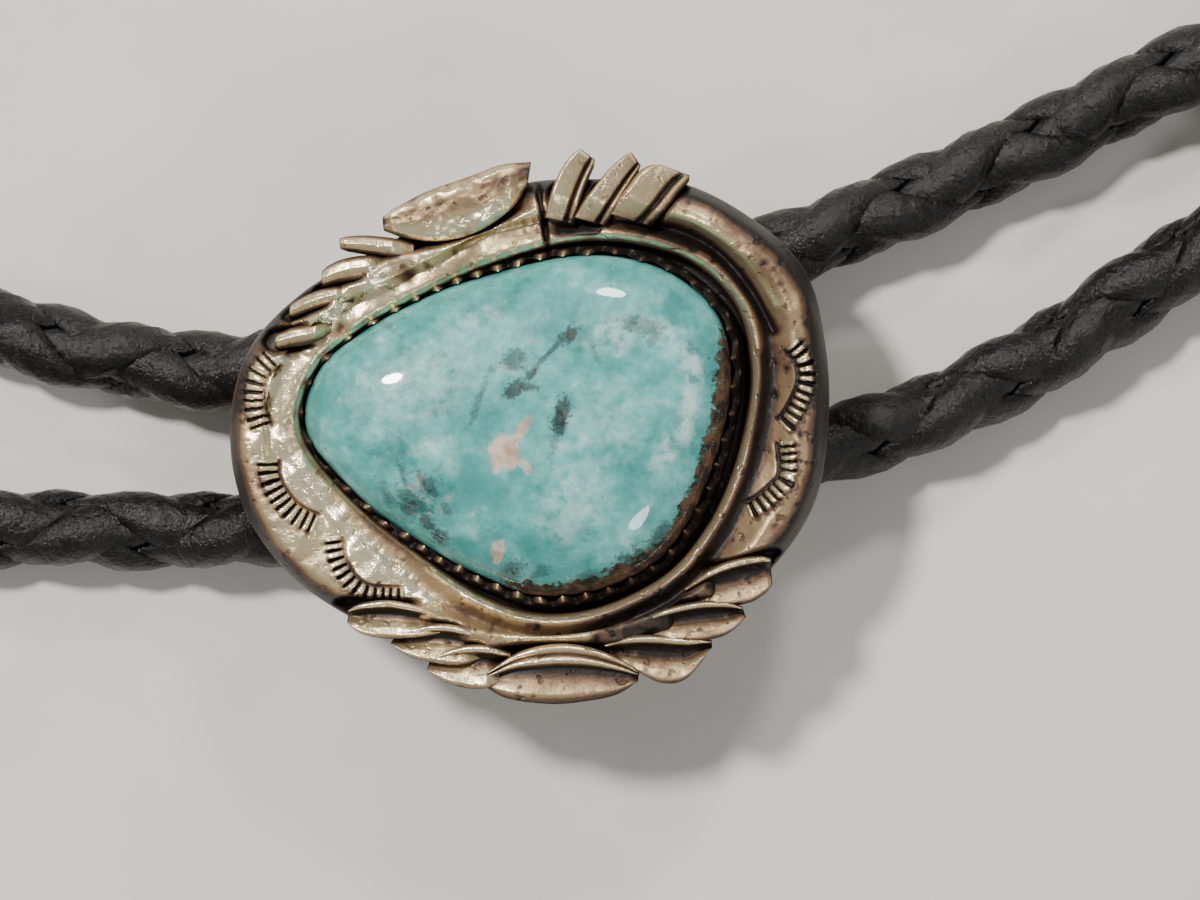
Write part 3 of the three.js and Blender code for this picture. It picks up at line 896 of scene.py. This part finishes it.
turquoise = Finish("turquoise")
haze = turquoise.grain(2.2, 4, 0.6)
curd = turquoise.grain(0.8, 5, 0.64, shift=(0.05, 0.02, 0))
dust = turquoise.grain(0.22, 3, 0.6)
edge = turquoise.attribute("crust")
ragged = turquoise.grain(0.5, 5, 0.72, shift=(0.01, 0.07, 0))
lumps = turquoise.grain(1.3, 3, 0.6, shift=(0.02, 0.01, 0))


def blot(x, y, long, wide, turn, wander, soft):
    # 1 inside a ragged oval on the stone and 0 outside
    place = turquoise.node(
        "ShaderNodeMapping", {"vector_type": "TEXTURE"},
        {"Vector": turquoise.place, "Location": (x * mm, y * mm, 0.0115),
         "Rotation": (0, 0, radians(turn)), "Scale": (long * mm, wide * mm, 0.02)},
    )
    away = turquoise.node("ShaderNodeVectorMath", {"operation": "LENGTH"}, {0: place}, "Value")
    return 1 - (away + wander).rise(1 - soft, 1 + soft)


def allBlots(rows, wander, soft):
    total = None
    for x, y, long, wide, turn, strength in rows:
        part = blot(x, y, long, wide, turn, wander, soft) * strength
        total = part if total is None else total.atLeast(part)
    return total


rough = (ragged - 0.5) * 3.2 + (lumps - 0.5) * 1.4
matrix = allBlots(gem["matrix"], rough * 1.25 + (dust - 0.5) * 2.6 - 0.35, 0.5)
tan = allBlots(gem["tans"], rough * 0.55, 0.22)
grey = allBlots(gem["greys"], rough * 0.8 - 0.25, 0.6)
white = allBlots(gem["clouds"], rough * 0.7, 0.7)
deep = allBlots(gem["deeps"], (haze - 0.5) * 3, 0.8)
flecks = (ragged * 0.6 + dust * 0.4).rise(0.5, 0.62)
skin = turquoise.ramp(haze * 0.55 + curd * 0.45, [
    (0.34, tint(46, 124, 120)), (0.46, tint(74, 156, 151)), (0.56, tint(100, 178, 173)),
    (0.68, tint(150, 206, 200)),
])
skin = turquoise.mix(deep * 0.8, skin, tint(44, 128, 126))
skin = turquoise.mix(white * curd.rise(0.32, 0.6) * 0.7, skin, tint(204, 232, 226))
skin = turquoise.mix(lumps.rise(0.55, 0.75) * 0.25, skin, tint(160, 212, 204))
skin = turquoise.mix(grey * flecks, skin, tint(58, 74, 72))
beige = grey * lumps.rise(0.5, 0.62) * dust.rise(0.45, 0.6) * 0.6
skin = turquoise.mix(beige, skin, tint(184, 168, 152))
pale = curd.rise(0.62, 0.7) * dust.rise(0.5, 0.62) * 0.35
skin = turquoise.mix(pale, skin, tint(208, 230, 222))
sand = turquoise.mix(curd.rise(0.35, 0.6), tint(172, 140, 120), tint(206, 188, 170))
skin = turquoise.mix(tan, skin, sand)
vein = turquoise.mix(curd.rise(0.4, 0.6), tint(16, 30, 32), tint(52, 52, 46))
skin = turquoise.mix((matrix * (0.85 + flecks * 0.6)).atMost(1), skin, vein)
# painted shadow of the bezel's teeth: a ragged brown band on the stone's right and lower edge
crust = (edge + (ragged - 0.5) * 1.7 + (lumps - 0.5) * 0.7).rise(0.42, 0.58)
brown = turquoise.mix(curd.rise(0.4, 0.62), tint(32, 24, 19), tint(98, 72, 52))
skin = turquoise.mix(crust, skin, brown)
turquoise.wear(
    colour=skin, rough=0.42 + crust * 0.2 + matrix * 0.1, specular=0.35,
    coat=0.6 - crust * 0.5, coatRough=0.04,
    normal=turquoise.bump(
        haze * 2.0 + lumps * 0.5 + curd * 0.05 - crust * 0.8 - matrix * 0.5, 0.06
    ),
)

stoneSection = [  # share of the edge, height above the bottom, rows to the next
    (0, 0, 2), (0.97, 0, 2), (1, 0.3, 2), (1, 1.2, 3), (0.97, 2, 4), (0.87, 2.9, 5), (0.7, 3.6, 6),
    (0.45, 4.1, 6), (0.2, 4.28, 5), (0, 4.3, 1),
]


def turquoiseStone():
    starts = np.cumsum([0] + [s[2] for s in stoneSection[:-1]])
    place = np.arange(int(starts[-1]) + 1)
    mesh, angle, row = spunRows("turquoiseStone", len(place), gem["columns"])
    share = np.interp(place, starts, [s[0] for s in stoneSection])[row]
    up = np.interp(place, starts, [s[1] for s in stoneSection])[row]
    dome = row >= starts[3]
    # the dome is one smooth curve from the girdle to the top
    up = np.where(dome, 1.2 + 3.1 * np.sqrt(np.clip(1 - share**2.6, 0, 1)), up)
    r = share * edgeAt(stoneEdge, angle)
    x, y = r * np.cos(angle), r * np.sin(angle)
    z = gem["bottom"] + up + dome * 0.05 * grainAt(x, y, 4, 3)
    # the mask for the painted shadow of the bezel's teeth, on the right and lower edge
    flank = np.cos(angle - radians(-8))
    low = np.cos(angle - radians(-70))
    sides = np.clip(ease(flank, 0.72, 0.95) + 0.9 * ease(low, 0.8, 0.97), 0, 1)
    crust = ease(share, 0.84, 1.0) * sides
    keepAttribute(mesh, "crust", crust)
    settle(mesh, x, y, z)
    return finishPiece("turquoiseStone", mesh, turquoise.material)


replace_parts(turquoiseStone(), "turquoise_stone")
print("stone made")

# the braided cord

cordSet = {
    "diameter": 4.3, "pitch": 15.0, "strandWide": 1.42, "strandThick": 0.6, "sides": 12,
    "fineStep": 0.36, "coarseStep": 0.85, "fineReach": 40, "turn": 0.6,
}
floorZ = cordSet["diameter"] / 2 + 0.03
clipZ = 3.2
tipWall = 0.45
tipZ = floorZ + gap + tipWall
# the cord's middle from one tail, under the slide, round the neck and back to the other tail
route = [
    (46.4, 23.6, tipZ), (34.4, 18.8, tipZ), (24, 13.7, 2.4), (14.2, 9.5, 3.05),
    (8.2, 7.8, clipZ), (-0.2, 6.05, clipZ), (-8.6, 4.3, clipZ),
    (-14.4, 2.9, 3), (-20, 3.35, 2.4), (-27, 5.05, floorZ),
    (-48, 12, floorZ), (-79, 25, floorZ), (-118, 45, floorZ), (-158, 71, floorZ),
    (-198, 95, floorZ),
    (-236, 105, floorZ), (-271, 98, floorZ), (-300, 78, floorZ), (-319, 49, floorZ),
    (-325, 17, floorZ), (-319, -15, floorZ), (-300, -44, floorZ), (-271, -64, floorZ),
    (-236, -71, floorZ), (-197, -63, floorZ), (-158, -46, floorZ), (-118, -27.5, floorZ),
    (-81, -13.5, floorZ), (-49, -6.9, floorZ), (-27, -5.2, floorZ),
    (-20, -5.25, 2.4), (-14.4, -5.1, 3), (-8.2, -4.7, clipZ), (0.4, -3.15, clipZ),
    (8.8, -1.45, clipZ),
    (15.4, -0.9, 3.05), (24.5, 2.8, 2.4), (35.2, 9.9, tipZ), (46.4, 16.4, tipZ),
]


def routeStations():
    # places along the route, close together where the cord is seen from near
    line = smoothLine(route, 60)
    length = np.concatenate([[0], np.cumsum(np.linalg.norm(np.diff(line, axis=0), axis=1))])
    stations = [0.0]
    while stations[-1] < length[-1]:
        x = np.interp(stations[-1], length, line[:, 0])
        near = x > -cordSet["fineReach"]
        stations.append(stations[-1] + cordSet["fineStep" if near else "coarseStep"])
    stations[-1] = length[-1]
    s = np.array(stations)
    centre = np.column_stack([np.interp(s, length, line[:, k]) for k in range(3)])
    return s, centre


def unit(vectors):
    return vectors / np.linalg.norm(vectors, axis=-1, keepdims=True)


def strand(order, s, centre):
    forward = unit(np.gradient(centre, s, axis=0))
    side = unit(np.cross(np.array([0, 0, 1.0]), forward))
    above = np.cross(forward, side)
    way = 1 if order < 2 else -1
    turn = cordSet["turn"] + way * (tau * s / cordSet["pitch"]) + pi * (order % 2)
    # a strand goes over one of the others and under the next
    weave = np.cos(2 * tau * s / cordSet["pitch"] + (0 if order < 2 else pi) + 0.2)
    reach = cordSet["diameter"] / 2 - cordSet["strandThick"] - 0.3 + 0.3 * weave
    away = np.cos(turn)[:, None] * side + np.sin(turn)[:, None] * above
    core = centre + reach[:, None] * away
    heading = unit(np.gradient(core, s, axis=0))
    across = unit(np.cross(heading, away))
    away = np.cross(across, heading)

    bm = bmesh.new()
    bmesh.ops.create_grid(bm, x_segments=len(s) - 1, y_segments=cordSet["sides"], size=1)
    mesh = bpy.data.meshes.new(f"strand{order}")
    bm.to_mesh(mesh)
    bm.free()
    co = readPlaces(mesh)
    k = np.rint((co[:, 0] + 1) / 2 * (len(s) - 1)).astype(int)
    lane = np.rint((co[:, 1] + 1) / 2 * cordSet["sides"]).astype(int) % cordSet["sides"]
    angle = tau * lane / cordSet["sides"]
    c, d = np.cos(angle), np.sin(angle)
    wide = cordSet["strandWide"] * np.sign(c) * np.abs(c) ** 0.85
    thick = cordSet["strandThick"] * np.sign(d) * np.abs(d) ** 0.75

    def crinkle(size, turns, seed):
        pairs = zip(s[k], angle)
        return np.array([noise.noise(Vector((p / size, q * turns, seed))) for p, q in pairs])

    creased = crinkle(1.1, 0.8, order * 7)
    wrinkle = crinkle(0.45, 0.5, order * 5 + 40)
    thick = thick + (0.07 * creased + 0.035 * wrinkle) * (d > 0.1)
    place = core[k] + across[k] * wide[:, None] + away[k] * (thick - wide**2 / 4.2)[:, None]
    rub = 0.5 + 0.5 * d * (0.5 + 0.5 * weave[k]) + 0.3 * creased
    keepAttribute(mesh, "rub", np.clip(rub, 0, 1))
    low = place[:, 2] < 0.02
    place[low, 2] = 0.02
    settle(mesh, place[:, 0], place[:, 1], place[:, 2])
    bm = bmesh.new()
    bm.from_mesh(mesh)
    bmesh.ops.holes_fill(bm, edges=[e for e in bm.edges if e.is_boundary], sides=0)
    bmesh.ops.recalc_face_normals(bm, faces=bm.faces)
    bm.to_mesh(mesh)
    bm.free()
    return finishPiece(f"strand{order}", mesh, leather.material)


stations, centreLine = routeStations()
strands = [strand(order, stations, centreLine) for order in range(4)]
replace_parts(strands[0], "braided_cord")
print("cord braided,", sum(len(p.data.polygons) for p in strands), "faces")

# the tips and the clip

tipSet = {"length": 22, "bore": 10, "wall": tipWall, "columns": 64, "straight": 11.5, "end": 1.7}


def cordTip(name, end, before):
    bore = cordSet["diameter"] / 2 + gap
    mouth = bore + tipSet["wall"]
    length = tipSet["length"]
    section = [
        (0, tipSet["bore"]), (bore, tipSet["bore"]), (bore, 0.15), (bore + 0.12, 0),
        (mouth - 0.12, 0),
        (mouth, 0.15), (mouth, 0.9), (mouth - 0.14, 1.05), (mouth - 0.14, 1.25), (mouth, 1.4),
        (mouth, 2.1), (mouth - 0.14, 2.25), (mouth - 0.14, 2.45), (mouth, 2.6), (mouth, 6),
        (mouth, tipSet["straight"] - 0.4), (mouth - 0.06, tipSet["straight"]),
        (2.55, 14), (2.2, 17),
        (tipSet["end"] + 0.04, length - 1.8), (tipSet["end"] - 0.05, length - 1.1),
        (1.3, length - 0.4), (0.75, length - 0.06), (0, length),
    ]
    bm = bmesh.new()
    chain = [bm.verts.new((r * mm, 0, up * mm)) for r, up in section]
    edges = [bm.edges.new(pair) for pair in zip(chain[:-1], chain[1:])]
    bmesh.ops.spin(bm, geom=chain + edges, cent=(0, 0, 0), axis=(0, 0, 1), angle=tau,
                   steps=tipSet["columns"], use_merge=True)
    bmesh.ops.remove_doubles(bm, verts=bm.verts, dist=1e-7)
    bmesh.ops.recalc_face_normals(bm, faces=bm.faces)
    along = (Vector(end) - Vector(before)).normalized()
    turn = along.to_track_quat("Z", "Y").to_matrix()
    bmesh.ops.rotate(bm, verts=bm.verts, cent=(0, 0, 0), matrix=turn)
    start = (Vector(end) + along * (gap - tipSet["bore"])) * mm
    bmesh.ops.translate(bm, verts=bm.verts, vec=start)
    mesh = bpy.data.meshes.new(name)
    bm.to_mesh(mesh)
    bm.free()
    return finishPiece(name, mesh, plain.material)


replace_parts(cordTip("turnedTipUpper", route[0], route[1]), "cord_tip_upper")
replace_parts(cordTip("turnedTipLower", route[-1], route[-2]), "cord_tip_lower")

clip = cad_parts["cord_clip"]
clip.data.materials.clear()
clip.data.materials.append(plain.material)
print("tips and clip finished")
